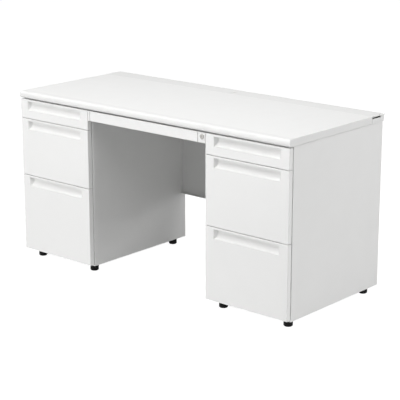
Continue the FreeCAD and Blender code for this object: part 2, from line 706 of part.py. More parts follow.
def make_modesty_panel():
    """A shallow tray of sheet between the pedestals, its four edges bent forwards."""
    x, z = (-PEDESTAL_INNER_X, PEDESTAL_INNER_X), (MODESTY_BOTTOM, TOP_UNDERSIDE_Z)
    sheet = MODESTY_SHEET
    panel = slab(x, (MODESTY_FRONT_Y, MODESTY_REAR_Y), z)
    hollow_x, hollow_z = [(low + sheet, high - sheet) for low, high in (x, z)]
    save("modesty_panel", panel.cut(slab(hollow_x, (MODESTY_FRONT_Y, MODESTY_REAR_Y - sheet), hollow_z)))


def beside_centre(side, *distances):
    """X places at distances outwards from the centre drawer's left or right edge."""
    edge = CENTRE_X[0] if side == "left" else CENTRE_X[1]
    return sorted(edge + SIDE_SIGN[side] * d for d in distances)


def centre_rail(side):
    """A roll-formed rail under the worktop: a web, a top flange, and two flanges that guide the drawer.
    The web's front end runs on into the fixed front that it holds."""
    inner, outer = CENTRE_GAP, CENTRE_GAP + RAIL_WEB
    web_x = beside_centre(side, inner, outer)
    flange_x = beside_centre(side, outer - RAIL_TOP_FLANGE, outer)
    guide_x = beside_centre(side, RUNNER_CLEARANCE - TRAY_SIDE_INSET, outer)
    rear = TRAY_Y[1] + RAIL_TAIL
    guide_y = (RUNNER_Y[0], rear)
    low = SLOT_Z[0] - RAIL_WEB
    return fused(
        slab(web_x, (FRONT_BACK_Y, rear), (low, TOP_UNDERSIDE_Z)),
        slab(web_x, (FRONT_SKIN_Y, FRONT_BACK_Y), (low, FRONT_TOP_Z - FRONT_SHEET)),
        slab(flange_x, (FRONT_BACK_Y, rear), (TOP_UNDERSIDE_Z - RAIL_WEB, TOP_UNDERSIDE_Z)),
        slab(guide_x, guide_y, (low, SLOT_Z[0])),
        slab(guide_x, guide_y, (SLOT_Z[1], SLOT_Z[1] + RAIL_WEB)),
    )


def fixed_front(x):
    """A fixed piece of front beside the centre drawer: a folded box of sheet with rounded face edges."""
    z = (CENTRE_BOTTOM_Z, FRONT_TOP_Z)
    inside_x, inside_z = [(low + FRONT_SHEET, high - FRONT_SHEET) for low, high in (x, z)]
    return front_pan(x, z, inside_x, inside_z)


def make_centre_rails():
    filler_x = (CENTRE_SIDE_GAP - PEDESTAL_INNER_X, CENTRE_X[0] - CENTRE_GAP)
    save("centre_rail_left", fused(centre_rail("left"), fixed_front(filler_x)))

    plate = fixed_front((CENTRE_X[1] + CENTRE_GAP, PEDESTAL_INNER_X - CENTRE_SIDE_GAP))
    hole = rod_y(LOCK_X, LOCK_Z, LOCK_CASE_RADIUS + LOCK_CASE_CLEARANCE, (FRONT_FACE_Y, FRONT_BACK_Y))
    spare = CAM_SLOT_CLEARANCE
    notch_y = (CAM_Y[0] - spare, CAM_Y[1] + spare)
    notch_z = (LOCK_Z - CAM_REACH - spare, LOCK_Z + CAM_WIDTH / 2 + spare)
    cam_notch = slab((LOCK_X - CAM_REACH, LOCK_X), notch_y, notch_z)
    save("centre_rail_right", fused(centre_rail("right").cut(cam_notch), plate.cut(hole)))


def make_lock():
    mouth_y = FRONT_FACE_Y - LOCK_BEZEL_THICK
    bezel = rod_y(LOCK_X, LOCK_Z, LOCK_CASE_RADIUS + LOCK_BEZEL_LIP, (mouth_y, FRONT_FACE_Y))
    bezel = bezel.makeChamfer(LOCK_BEZEL_ROUND, [e for e in bezel.Edges if near(e.CenterOfMass.y, mouth_y)])
    barrel = rod_y(LOCK_X, LOCK_Z, LOCK_CASE_RADIUS, (FRONT_FACE_Y, LOCK_CASE_REAR_Y))
    bore = rod_y(LOCK_X, LOCK_Z, PLUG_RADIUS + PLUG_CLEARANCE, (mouth_y, LOCK_CASE_REAR_Y))
    save("lock_case", fused(bezel, barrel).cut(bore))

    face_y = mouth_y + PLUG_RECESS
    plug = rod_y(LOCK_X, LOCK_Z, PLUG_RADIUS, (face_y, CAM_Y[1]))
    half_key, half_cam = KEYWAY_WIDTH / 2, CAM_WIDTH / 2
    keyway = slab((LOCK_X - half_key, LOCK_X + half_key), (face_y, face_y + KEYWAY_DEPTH),
                  (LOCK_Z - KEYWAY_HEIGHT / 2, LOCK_Z + KEYWAY_HEIGHT / 2))
    cam = slab((LOCK_X - half_cam, LOCK_X + half_cam), CAM_Y, (LOCK_Z - CAM_REACH, LOCK_Z))
    save("lock_plug", fused(plug, cam).cut(keyway))


def make_keeper():
    """An angle on the centre drawer's side: its tab stands just behind the turned cam."""
    front = CAM_Y[1] + KEEPER_GAP
    z = (LOCK_Z - KEEPER_HEIGHT / 2, LOCK_Z + KEEPER_HEIGHT / 2)
    leg_x = beside_centre("right", -TRAY_SIDE_INSET, KEEPER_SHEET - TRAY_SIDE_INSET)
    tab_x = beside_centre("right", -TRAY_SIDE_INSET, CENTRE_GAP - KEEPER_CLEARANCE)
    leg = slab(leg_x, (front, front + KEEPER_LENGTH), z)
    tab = slab(tab_x, (front, front + KEEPER_SHEET), z)
    save("lock_keeper", fused(leg, tab))


def make_centre_drawer():
    margin = BACK_WINDOW_MARGIN
    window_x, window_z = [(low + margin, high - margin) for low, high in (TRAY_X, TRAY_Z)]
    save("centre_drawer_front", front_pan(CENTRE_X, (CENTRE_BOTTOM_Z, FRONT_TOP_Z), window_x, window_z))
    save("centre_drawer_tray", *box_solids(TRAY_X, TRAY_Y, TRAY_Z))
    runner_z = (SLOT_Z[0] + RUNNER_CLEARANCE, SLOT_Z[1] - RUNNER_CLEARANCE)
    runners = [slab(beside_centre(side, -TRAY_SIDE_INSET, 0), RUNNER_Y, runner_z) for side in SIDE_SIGN]
    save("centre_drawer_runners", *runners)


def main():
    os.makedirs("parts", exist_ok=True)
    make_worktop()
    make_trough()
    make_lids()
    make_carcasses()
    make_feet()
    for side in SIDE_SIGN:
        make_drawers(side)
    make_modesty_panel()
    make_centre_rails()
    make_lock()
    make_keeper()
    make_centre_drawer()


main()
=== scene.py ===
# %% [markdown]
# # A steel pedestal desk, dressed for its picture
# The desk comes in as finished CAD pieces. This lesson gives every piece the surface of the real one,
# adds the small hardware that is too fine for the CAD model, and then sets up a plain studio. Loading
# comes first, because all later steps ask the frame where things are.

# %% Load the imported desk
import json
import math

import bmesh
import bpy
from mathutils import Matrix, Vector


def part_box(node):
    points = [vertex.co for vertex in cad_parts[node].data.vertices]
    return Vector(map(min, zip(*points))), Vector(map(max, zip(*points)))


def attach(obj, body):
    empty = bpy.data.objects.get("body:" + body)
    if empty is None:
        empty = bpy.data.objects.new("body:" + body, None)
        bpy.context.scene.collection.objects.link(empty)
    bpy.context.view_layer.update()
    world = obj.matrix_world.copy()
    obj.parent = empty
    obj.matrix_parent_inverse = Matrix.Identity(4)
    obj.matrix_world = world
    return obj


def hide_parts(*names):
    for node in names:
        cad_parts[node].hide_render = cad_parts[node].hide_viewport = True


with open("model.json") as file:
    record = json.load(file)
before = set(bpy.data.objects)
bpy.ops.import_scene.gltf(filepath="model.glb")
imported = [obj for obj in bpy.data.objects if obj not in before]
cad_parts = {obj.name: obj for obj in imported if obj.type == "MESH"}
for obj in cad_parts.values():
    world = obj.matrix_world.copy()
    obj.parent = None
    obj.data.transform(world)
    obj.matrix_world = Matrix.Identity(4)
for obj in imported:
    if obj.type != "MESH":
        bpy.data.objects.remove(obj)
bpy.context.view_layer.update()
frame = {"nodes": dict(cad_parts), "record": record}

nodes = frame["nodes"]

# %% [markdown]
# ## Tools for finishes
# A shader is a small graph, so four helpers are enough: one turns a colour picked on a screen into the
# linear light that shaders count in, one turns a real size in millimetres into a pattern's scale, one adds
# a node with its settings and links, and one starts a material with an empty graph. Object coordinates are
# in metres here, so a noise of scale 1000 has features about a millimetre wide.

# %% Helpers for colours, sizes and shader nodes
MM = 0.001


def linear(hex_value):
    """An sRGB hex value as the linear colour that a shader takes."""
    parts = [int(hex_value[i:i + 2], 16) / 255 for i in (0, 2, 4)]
    return [p / 12.92 if p <= 0.04045 else ((p + 0.055) / 1.055) ** 2.4 for p in parts] + [1.0]


def per_metre(millimetres):
    """The scale of a pattern whose features are this wide."""
    return 1 / (millimetres * MM)


def add(tree, kind, inputs=None, **settings):
    """Adds a node, sets its properties, and fills its sockets with values or links."""
    node = tree.nodes.new(kind)
    for name, value in settings.items():
        setattr(node, name, value)
    for socket, value in (inputs or {}).items():
        if isinstance(value, bpy.types.NodeSocket):
            tree.links.new(value, node.inputs[socket])
        else:
            node.inputs[socket].default_value = value
    return node


def new_tree(name):
    """A material with an empty graph, as the material and its tree."""
    material = bpy.data.materials.new(name)
    material.use_nodes = True
    material.node_tree.nodes.clear()
    return material, material.node_tree


print("screen grey 808080 is", round(linear("808080")[0], 3), "in linear light")

# %% [markdown]
# ## White coats and mouldings
# Nearly all of this desk is white, and what tells its parts apart is how each white surface was made.
# A picture of each surface could be wrapped round the pieces, but a pattern worked out in the shader has no
# seams and holds up close to. All are the same recipe with other numbers: a slow mottle in the colour, a
# finer grain in the gloss, and a shallow bump of that grain. The real grain is under half a millimetre, too
# fine for one pixel here, so it is drawn coarser.

# %% One recipe for coats and mouldings
NOISE_LOW = 0.3
NOISE_HIGH = 0.7
GRAIN_STRENGTH = 0.5
COAT_ROUGHNESS = 0.25


def coated(name, light, shade, mottle_mm, grain_mm, depth_mm, gloss, ior=1.5, coat=0.0):
    """A painted, pressed or moulded surface; gloss is its lowest and highest roughness."""
    material, tree = new_tree(name)
    place = add(tree, "ShaderNodeTexCoord").outputs["Object"]
    mottle = add(tree, "ShaderNodeTexNoise", {
        "Vector": place, "Scale": per_metre(mottle_mm), "Detail": 3.0})
    colour = add(tree, "ShaderNodeMix", {
        "Factor": mottle.outputs["Fac"], "A": linear(light), "B": linear(shade)}, data_type="RGBA")
    grain = add(tree, "ShaderNodeTexNoise", {
        "Vector": place, "Scale": per_metre(grain_mm), "Detail": 2.0})
    rough = add(tree, "ShaderNodeMapRange", {
        "Value": grain.outputs["Fac"], "From Min": NOISE_LOW, "From Max": NOISE_HIGH,
        "To Min": gloss[0], "To Max": gloss[1]})
    bump = add(tree, "ShaderNodeBump", {
        "Height": grain.outputs["Fac"], "Strength": GRAIN_STRENGTH, "Distance": depth_mm * MM})
    surface = add(tree, "ShaderNodeBsdfPrincipled", {
        "Base Color": colour.outputs["Result"], "Roughness": rough.outputs["Result"],
        "Normal": bump.outputs["Normal"], "IOR": ior,
        "Coat Weight": coat, "Coat Roughness": COAT_ROUGHNESS})
    add(tree, "ShaderNodeOutputMaterial", {"Surface": surface.outputs["BSDF"]})
    print("made", name)
    return material


# %% [markdown]
# ## Paint and laminate
# The sheet steel is painted and the worktop is laminated. Each finish is named for what it is, and its
# numbers start from what such a surface has: an IOR of about 1.5, and a roughness from 0.3 for a smooth
# enamel to 0.5 for powder. They were then matched to the picture.

# %% Paint and laminate
finishes = {}

# Sprayed dry and baked: a soft sheen over a fine orange peel.
finishes["panel_paint"] = coated(
    "white_powder_coat", "EDEDEC", "E9E9E8", mottle_mm=90, grain_mm=3.0, depth_mm=0.02, gloss=(0.42, 0.52))

# Sprayed wet and baked: it lies flatter than powder and shines a little more.
finishes["front_paint"] = coated(
    "white_baked_enamel", "EFEFEE", "ECECEB", mottle_mm=120, grain_mm=4.0, depth_mm=0.012,
    gloss=(0.32, 0.40), coat=0.15)

# A thin even coat on the drawer boxes, pale grey beside the white fronts.
finishes["box_paint"] = coated(
    "pale_grey_enamel", "DEDFDF", "D9DADA", mottle_mm=90, grain_mm=3.5, depth_mm=0.015, gloss=(0.38, 0.48))

# Pressed against an etched plate: a pearl grain that breaks up reflections.
finishes["worktop_laminate"] = coated(
    "white_melamine", "F0F0EF", "EDEDEC", mottle_mm=60, grain_mm=2.2, depth_mm=0.03, gloss=(0.38, 0.50))

# %% [markdown]
# ## Plastics
# Edging, lids, pulls, runners and feet are plastic, and their gloss comes from the tool that shaped them.
# PVC and nylon have an IOR of about 1.53. The pulls and the feet get less than ABS and nylon have, because
# their rough faces hardly mirror anything in the picture.

# %% Plastics
# Extruded edging: smooth, and a little greyer and glossier than the board it goes round.
finishes["edge_trim"] = coated(
    "white_pvc_edging", "E9E9E8", "E6E6E5", mottle_mm=70, grain_mm=3.0, depth_mm=0.01,
    gloss=(0.30, 0.38), ior=1.53)

# Extruded lids: the grey of the edging with a duller sheen.
finishes["lid_plastic"] = coated(
    "white_extruded_pvc", "E9E9E8", "E6E6E5", mottle_mm=70, grain_mm=2.5, depth_mm=0.015,
    gloss=(0.36, 0.46), ior=1.53)

# Moulded against spark-eroded steel: matt, so that the hollow of a pull shades softly.
finishes["pull_plastic"] = coated(
    "white_moulded_abs", "F0F0EF", "EDEDEC", mottle_mm=70, grain_mm=2.0, depth_mm=0.015,
    gloss=(0.50, 0.60), ior=1.4)

# Left in its own colour: milky, a little yellow, and waxy.
finishes["runner_plastic"] = coated(
    "natural_nylon", "DCDAD2", "D2D0C8", mottle_mm=25, grain_mm=2.0, depth_mm=0.01,
    gloss=(0.40, 0.50), ior=1.53)

# Black all through, with a rough mould face: it hardly shines.
finishes["foot_plastic"] = coated(
    "black_moulded_nylon", "0B0B0C", "060607", mottle_mm=12, grain_mm=1.2, depth_mm=0.03,
    gloss=(0.60, 0.75), ior=1.25)

# %% [markdown]
# ## Plated metal
# The drawer slides are rolled from strip and zinc plated, and the lock is die cast and plated with satin
# nickel. Rolling and polishing leave lines. An anisotropic shader could fake them, but stretching a noise
# along one direction shows the lines themselves: long along the slide, short across it. A metal's colour is
# its reflection, so metallic is 1 and the IOR stays as it is.

# %% One recipe for plated metal
LINE_STRENGTH = 0.3
LINE_DEPTH = 0.01


def plated(name, light, shade, line_mm, stretch, gloss):
    """A metal surface with fine lines; stretch divides the pattern's scale along each axis."""
    material, tree = new_tree(name)
    place = add(tree, "ShaderNodeTexCoord").outputs["Object"]
    drawn = add(tree, "ShaderNodeMapping", {"Vector": place, "Scale": [1 / s for s in stretch]})
    lines = add(tree, "ShaderNodeTexNoise", {
        "Vector": drawn.outputs["Vector"], "Scale": per_metre(line_mm), "Detail": 3.0})
    colour = add(tree, "ShaderNodeMix", {
        "Factor": lines.outputs["Fac"], "A": linear(light), "B": linear(shade)}, data_type="RGBA")
    rough = add(tree, "ShaderNodeMapRange", {
        "Value": lines.outputs["Fac"], "From Min": NOISE_LOW, "From Max": NOISE_HIGH,
        "To Min": gloss[0], "To Max": gloss[1]})
    bump = add(tree, "ShaderNodeBump", {
        "Height": lines.outputs["Fac"], "Strength": LINE_STRENGTH, "Distance": LINE_DEPTH * MM})
    surface = add(tree, "ShaderNodeBsdfPrincipled", {
        "Base Color": colour.outputs["Result"], "Roughness": rough.outputs["Result"],
        "Normal": bump.outputs["Normal"], "Metallic": 1.0})
    add(tree, "ShaderNodeOutputMaterial", {"Surface": surface.outputs["BSDF"]})
    print("made", name)
    return material


# Rolled strip in bright zinc: a cool grey with long faint lines from front to back.
finishes["zinc_steel"] = plated(
    "bright_zinc_plate", "C9CCCF", "B4B8BB", line_mm=1.5, stretch=(1, 40, 1), gloss=(0.28, 0.42))

# Brushed upright before plating: a warm grey that spreads its highlight.
finishes["lock_metal"] = plated(
    "satin_nickel", "979693", "858481", line_mm=0.6, stretch=(1, 1, 12), gloss=(0.34, 0.48))

# %% [markdown]
# ## Dress the CAD pieces
# Each piece could be given its finish by name, one line for each. The record already names one material slot
# for each piece, so the finishes above are dealt out by that table, and a later change of finish is a change
# in one place.

# %% Give each CAD piece its finish
slot_of = {row["node"]: row["material_slot"] for row in frame["record"]["subparts"]}
for name, piece in nodes.items():
    piece.data.materials.clear()
    piece.data.materials.append(finishes[slot_of[name]])
print("dressed", len(slot_of), "pieces in", len(set(slot_of.values())), "finishes")

# %% [markdown]
# ## Tools for small hardware
# Feet, screws and buffers are round, so they are made as on a lathe: an outline of radius and height, spun
# round an upright axis. Another helper repeats a finished shape at its places, gives it the finish of its
# slot and lets it ride on the body that carries it. The places of screws and buffers could be typed in, but
# here they are found by looking along a line until it meets the CAD piece, so a screw always lies on its
# sheet. Sizes of hardware are in millimetres, and MM turns them into Blender's metres.

# %% Helpers for turned parts
NEAR = 0.01
SHARP_DEGREES = 35


def joined(shape, outline):
    """Points of (radius, height) in mm, joined in a row beside the Z axis."""
    points = [shape.verts.new((radius * MM, 0, height * MM)) for radius, height in outline]
    edges = [shape.edges.new(pair) for pair in zip(points, points[1:])]
    return points + edges


def turned(outline, steps):
    """An outline of (radius, height) in mm, spun round the Z axis into a closed shape."""
    shape = bmesh.new()
    bmesh.ops.spin(shape, geom=joined(shape, outline), cent=(0, 0, 0), axis=(0, 0, 1),
                   angle=2 * math.pi, steps=steps, use_merge=True)
    bmesh.ops.remove_doubles(shape, verts=shape.verts, dist=NEAR * MM)
    bmesh.ops.recalc_face_normals(shape, faces=shape.faces)
    return shape


def placed(name, shape, places, body, slot, sharp_degrees=SHARP_DEGREES):
    """One piece from a shape repeated at each matrix in places, on a body and in a slot's finish."""
    pattern = bpy.data.meshes.new(name + "_pattern")
    shape.to_mesh(pattern)
    shape.free()
    whole = bmesh.new()
    for place in places:
        before = len(whole.verts)
        whole.from_mesh(pattern)
        whole.verts.ensure_lookup_table()
        bmesh.ops.transform(whole, matrix=place, verts=whole.verts[before:])
    mesh = bpy.data.meshes.new(name)
    whole.to_mesh(mesh)
    whole.free()
    bpy.data.meshes.remove(pattern)
    mesh.shade_smooth()
    mesh.set_sharp_from_angle(angle=math.radians(sharp_degrees))
    mesh.materials.append(finishes[slot])
    piece = bpy.data.objects.new(name, mesh)
    bpy.context.scene.collection.objects.link(piece)
    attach(piece, body)
    return piece


def seat(node, start, direction):
    """Where a line from start first meets a CAD piece: a matrix whose Z axis points back along the line."""
    met, place, _, _ = nodes[node].ray_cast(Vector(start), Vector(direction))
    if not met:
        raise RuntimeError(f"no surface of {node} ahead of {start}")
    turn = (-Vector(direction)).to_track_quat("Z", "Y").to_matrix().to_4x4()
    return Matrix.Translation(place) @ turn


print("points nearer than", NEAR, "mm count as one")

# %% [markdown]
# ## Drawer pulls: the scoop
# Each front has a white moulded scoop that the fingers hook into. The CAD pull has the scoop, its hook and
# its flange with crisp edges, but a moulding has none: its end walls lean so that it leaves the mould, and
# its corners are round. At this distance that softness is what the eye sees. A block could be hollowed with
# a boolean, but a thin skin is easier to round. The scoop's floor is a quarter circle spun from one point
# and stretched, and a path of single points adds the back, the hook and the lip. That outline is filled as
# an end wall and pulled along the drawer, and the face across the mouth is taken away.

# %% The skin of a scoop
RIM = 1.5
FLANGE = 4.0
FLANGE_DEPTHS = (1.25, 2.7)
MOUTH_HEIGHT = 39.0
BACK_HEIGHT = 12.0
END_LEAN = 0.4
FLOOR_STEPS = 10


def new_points(result):
    """The vertices among what a bmesh operator made."""
    return [item for item in result if isinstance(item, bmesh.types.BMVert)]


def end_wall(low, high, left):
    """The scoop's outline at its left end, filled as one face."""
    bottom = low.z + (FLANGE + RIM) * MM
    bend = low.z + (FLANGE + MOUTH_HEIGHT - BACK_HEIGHT) * MM
    mouth_top = low.z + (FLANGE + MOUTH_HEIGHT - RIM) * MM
    roof = high.z - RIM * MM
    depth = high.y - low.y - RIM * MM
    lip = FLANGE_DEPTHS[1] * MM
    shape = bmesh.new()
    # A quarter of a circle of radius 1 is stretched to the scoop's depth and height.
    start = shape.verts.new((left, 0, -1))
    floor = bmesh.ops.spin(shape, geom=[start], cent=(left, 0, 0), axis=(1, 0, 0), angle=math.pi / 2,
                           steps=FLOOR_STEPS)
    bmesh.ops.scale(shape, vec=(1, depth, bend - bottom), verts=shape.verts)
    bmesh.ops.translate(shape, vec=(0, low.y, bend), verts=shape.verts)
    tip = new_points(floor["geom_last"])
    for move in ((0, 0, roof - bend), (0, lip - depth, 0), (0, 0, mouth_top - roof), (0, -lip, 0)):
        tip = bmesh.ops.extrude_vert_indiv(shape, verts=tip)["verts"]
        bmesh.ops.translate(shape, vec=move, verts=tip)
    shape.edges.new((tip[0], start))
    bmesh.ops.edgeloop_fill(shape, edges=shape.edges)
    return shape


def scoop(low, high):
    """The hollow of a pull as an open skin that faces the fingers."""
    left = low.x + (FLANGE + RIM) * MM
    right = high.x - (FLANGE + RIM) * MM
    shape = end_wall(low, high, left)
    far = bmesh.ops.extrude_face_region(shape, geom=shape.faces[:], use_keep_orig=True)
    bmesh.ops.translate(shape, vec=(right - left, 0, 0), verts=new_points(far["geom"]))
    bmesh.ops.recalc_face_normals(shape, faces=shape.faces)
    bmesh.ops.reverse_faces(shape, faces=shape.faces)
    mouth = [f for f in shape.faces if max(v.co.y for v in f.verts) < low.y + NEAR * MM]
    bmesh.ops.delete(shape, geom=mouth, context="FACES_ONLY")
    for vert in shape.verts:
        lean = END_LEAN * (vert.co.y - low.y)
        vert.co.x += lean if vert.co.x < (left + right) / 2 else -lean
    return shape


drawers = [f"{side}_{level}" for side in ("left", "right") for level in ("top", "middle", "bottom")]
sample = scoop(*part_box(drawers[0] + "_pull"))
print("a scoop has", len(sample.faces), "faces before it is rounded")
sample.free()

# %% [markdown]
# ## Drawer pulls: corners, rim and flange
# The corners along the end walls get the round of the mould. The skin's open edge is pulled outwards to a
# flat rim that hides the cut in the sheet, and then the skin gets its wall thickness. Rounding comes before
# that, because on a double wall each corner would have to be rounded twice. The flange that clips behind the
# sheet is a plate with its middle taken out, with a thickness of its own.

# %% Whole pulls
CORNER_RADIUS = 3.0
CORNER_SEGMENTS = 4
SHARP_DEPTH = 3.0
SIDEWAYS = 0.5
MOUTH_RADIUS = 0.6
SHELL = 1.1
FLANGE_LAP = 0.6


def rounded(shape, edges, radius, segments=2):
    """Rounds edges by a radius in mm."""
    bmesh.ops.bevel(shape, geom=edges, offset=radius * MM, offset_type="OFFSET", affect="EDGES",
                    segments=segments, profile=0.5, material=-1)


def end_corners(shape, low):
    """The edges deep in the scoop where an end wall meets the floor, the back or the roof."""
    shape.normal_update()
    corners = []
    for edge in shape.edges:
        walls = sum(abs(f.normal.x) > SIDEWAYS for f in edge.link_faces)
        deep = max(v.co.y for v in edge.verts) > low.y + SHARP_DEPTH * MM
        if deep and walls == 1 and len(edge.link_faces) == 2:
            corners.append(edge)
    return corners


def mouth_centre(low, high):
    """The middle of the scoop's mouth, in the plane of the front."""
    return Vector(((low.x + high.x) / 2, low.y, low.z + (FLANGE + MOUTH_HEIGHT / 2) * MM))


def add_rim(shape, low, high):
    """Pulls the open edge outwards to a rim, rounds the step between them and gives the skin its wall."""
    mouth = [e for e in shape.edges if e.is_boundary]
    rim = new_points(bmesh.ops.extrude_edge_only(shape, edges=mouth)["geom"])
    width = high.x - low.x - 2 * FLANGE * MM
    grow = (width / (width - 2 * RIM * MM), 1, MOUTH_HEIGHT / (MOUTH_HEIGHT - 2 * RIM))
    bmesh.ops.scale(shape, vec=grow, verts=rim, space=Matrix.Translation(-mouth_centre(low, high)))
    bmesh.ops.recalc_face_normals(shape, faces=shape.faces)
    rounded(shape, mouth, MOUTH_RADIUS)
    bmesh.ops.remove_doubles(shape, verts=shape.verts, dist=NEAR * MM)
    bmesh.ops.solidify(shape, geom=shape.faces[:], thickness=SHELL * MM)


def add_flange(shape, low, high):
    """Adds a flat ring behind the sheet, round the mouth."""
    # A plate of one by one is stood up and stretched to the flange's outside.
    plate = bmesh.ops.create_grid(shape, x_segments=1, y_segments=1, size=0.5)["verts"]
    upright = Matrix.Rotation(math.pi / 2, 3, "X")
    sides = (high.x - low.x, 1, (MOUTH_HEIGHT + 2 * FLANGE) * MM)
    behind = Vector((0, FLANGE_DEPTHS[0] * MM, 0))
    bmesh.ops.rotate(shape, cent=(0, 0, 0), matrix=upright, verts=plate)
    bmesh.ops.scale(shape, vec=sides, verts=plate)
    bmesh.ops.translate(shape, vec=mouth_centre(low, high) + behind, verts=plate)
    middle = plate[0].link_faces[0]
    ring = bmesh.ops.inset_region(shape, faces=[middle], thickness=(FLANGE + FLANGE_LAP) * MM,
                                  use_boundary=True, use_even_offset=True)["faces"]
    bmesh.ops.delete(shape, geom=[middle], context="FACES_ONLY")
    bmesh.ops.solidify(shape, geom=ring, thickness=(FLANGE_DEPTHS[1] - FLANGE_DEPTHS[0]) * MM)


for drawer in drawers:
    low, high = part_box(drawer + "_pull")
    shape = scoop(low, high)
    rounded(shape, end_corners(shape, low), CORNER_RADIUS, CORNER_SEGMENTS)
    add_rim(shape, low, high)
    add_flange(shape, low, high)
    pull = placed(drawer + "_moulded_pull", shape, [Matrix()], drawer + "_drawer", "pull_plastic")
    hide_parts(drawer + "_pull")
print(len(drawers), "pulls of", len(pull.data.polygons), "faces")

# %% [markdown]
# ## Levelling feet: the grip
# Each pedestal stands on four black nylon feet that are turned by hand, so the grip is ribbed. The CAD foot
# is a twelve-sided block for collision, and this piece stands for it. Grooves could be cut one by one, but
# it is quicker to turn the disc in narrow columns and to push in every third column of its side. On top sits
# a six-sided collar for a spanner.

# %% Feet with ribbed grips
# The outlines hold how far a point is drawn in from the grip's radius, and its height.
GRIP_RADIUS = 17.6
GRIP_TOP = 20.0
SOLE_OUTLINE = [(3.4, 0.0), (2.8, 0.3), (0.0, 3.2)]
RIB_HEIGHTS = (4.2, 17.0)
SHOULDER_OUTLINE = [(0.0, 17.8), (0.5, 19.2), (1.8, GRIP_TOP)]
GRIP_STEPS = 72
GROOVE_EVERY = 3
GROOVE_SHARE = 0.955
COLLAR_SIDES = 6
COLLAR_TOP = 25.0
COLLAR_RADIUS = 7.4
COLLAR_ROUND = 0.5
GRIP_SHARP_DEGREES = 25
feet = [name for name in nodes if name.startswith("foot_")]


def foot_place(name):
    """A move to the middle of a foot, on the floor."""
    low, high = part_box(name)
    return Matrix.Translation(((low.x + high.x) / 2, (low.y + high.y) / 2, low.z))


def on_column(vert, steps, every):
    """Whether a point of a turned shape lies on one of its picked columns, one in every so many."""
    return round(math.atan2(vert.co.y, vert.co.x) / (2 * math.pi / steps)) % every == 0


def foot_grip():
    """A ribbed disc with a rounded sole and a six-sided collar."""
    insets = SOLE_OUTLINE + [(0.0, height) for height in RIB_HEIGHTS] + SHOULDER_OUTLINE
    side = [(GRIP_RADIUS - inset, height) for inset, height in insets]
    shape = turned([(0, 0)] + side + [(0, GRIP_TOP)], GRIP_STEPS)
    ribs = [v for v in shape.verts if any(abs(v.co.z - height * MM) < NEAR * MM for height in RIB_HEIGHTS)]
    grooves = [v for v in ribs if on_column(v, GRIP_STEPS, GROOVE_EVERY)]
    bmesh.ops.scale(shape, vec=(GROOVE_SHARE, GROOVE_SHARE, 1), verts=grooves)
    bmesh.ops.create_cone(
        shape, cap_ends=True, segments=COLLAR_SIDES, depth=(COLLAR_TOP - GRIP_TOP) * MM,
        radius1=COLLAR_RADIUS * MM, radius2=COLLAR_RADIUS * MM,
        matrix=Matrix.Translation((0, 0, (GRIP_TOP + COLLAR_TOP) / 2 * MM)))
    rim = [e for e in shape.edges if min(v.co.z for v in e.verts) > (COLLAR_TOP - NEAR) * MM]
    rounded(shape, rim, COLLAR_ROUND)
    return shape


for name in feet:
    grip = placed(name + "_grip", foot_grip(), [foot_place(name)], name, "foot_plastic",
                  GRIP_SHARP_DEGREES)
    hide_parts(name)
print(len(feet), "ribbed feet of", len(grip.data.polygons), "faces")

# %% [markdown]
# ## Levelling feet: the stem
# A steel stem with an M8 thread, 1.25 mm from turn to turn, screws into a nut welded in the base. A row of
# rings would look much the same from afar, but a real thread climbs, and a spin can climb too: one tooth is
# spun along a helix, and after a full turn it has climbed by its own height, so the turns join to one skin.
# The helix runs past both ends of the stem, and two cuts leave the ends flat.

# %% Threaded stems
CREST = 3.95
ROOT = 3.4
PITCH = 1.25
CREST_FLAT = (0.42, 0.58)
STEM_HEIGHTS = (24.0, 49.0)
TURN_STEPS = 14
TURNS_BELOW = 2
SPARE_TURNS = 3
ON_CUT = 0.0005
STEM_SHARP_DEGREES = 20


def threaded_stem():
    """A screw thread between two heights, cut flat at both ends."""
    shape = bmesh.new()
    low = STEM_HEIGHTS[0] - TURNS_BELOW * PITCH
    turns = math.ceil((STEM_HEIGHTS[1] - STEM_HEIGHTS[0]) / PITCH) + SPARE_TURNS
    flat = [(CREST, low + PITCH * share) for share in CREST_FLAT]
    tooth = joined(shape, [(ROOT, low)] + flat + [(ROOT, low + PITCH)])
    bmesh.ops.spin(shape, geom=tooth, cent=(0, 0, 0), axis=(0, 0, 1),
                   dvec=(0, 0, PITCH / TURN_STEPS * MM),
                   angle=2 * math.pi * turns, steps=TURN_STEPS * turns)
    bmesh.ops.remove_doubles(shape, verts=shape.verts, dist=NEAR * MM)
    for height, outward in zip(STEM_HEIGHTS, (-1, 1)):
        cut = bmesh.ops.bisect_plane(
            shape, geom=shape.verts[:] + shape.edges[:] + shape.faces[:], dist=ON_CUT * MM,
            plane_co=(0, 0, height * MM), plane_no=(0, 0, outward), clear_outer=True)
        ring = [item for item in cut["geom_cut"] if isinstance(item, bmesh.types.BMEdge)]
        bmesh.ops.edgeloop_fill(shape, edges=ring)
    bmesh.ops.recalc_face_normals(shape, faces=shape.faces)
    return shape


for name in feet:
    stem = placed(name + "_stem", threaded_stem(), [foot_place(name)], name, "zinc_steel",
                  STEM_SHARP_DEGREES)
print(len(feet), "threaded stems of", len(stem.data.polygons), "faces")

# %% [markdown]
# ## Screw heads
# All the screws here are pan heads with a cross recess. The recess could be cut out with a boolean, but a
# few moved points do it with far fewer faces. The head is turned, and its flat top is a fan round one middle
# point: drawing in three of every four points of that fan's rim leaves a four-pointed star, and pushing the
# middle point down makes the star a recess.

# %% A pan head with a cross recess
HEAD_STEPS = 16
HEAD_OUTLINE = [(1.0, 0.0), (1.0, 0.35), (0.86, 0.82), (0.68, 1.0)]
RECESS_RADIUS = 1.9
RECESS_DEPTH = 1.0
STAR_EVERY = 4
STAR_WAIST = 0.42
SHEET_SCREW = (3.6, 1.7)
PANEL_SCREW = (4.2, 2.2)


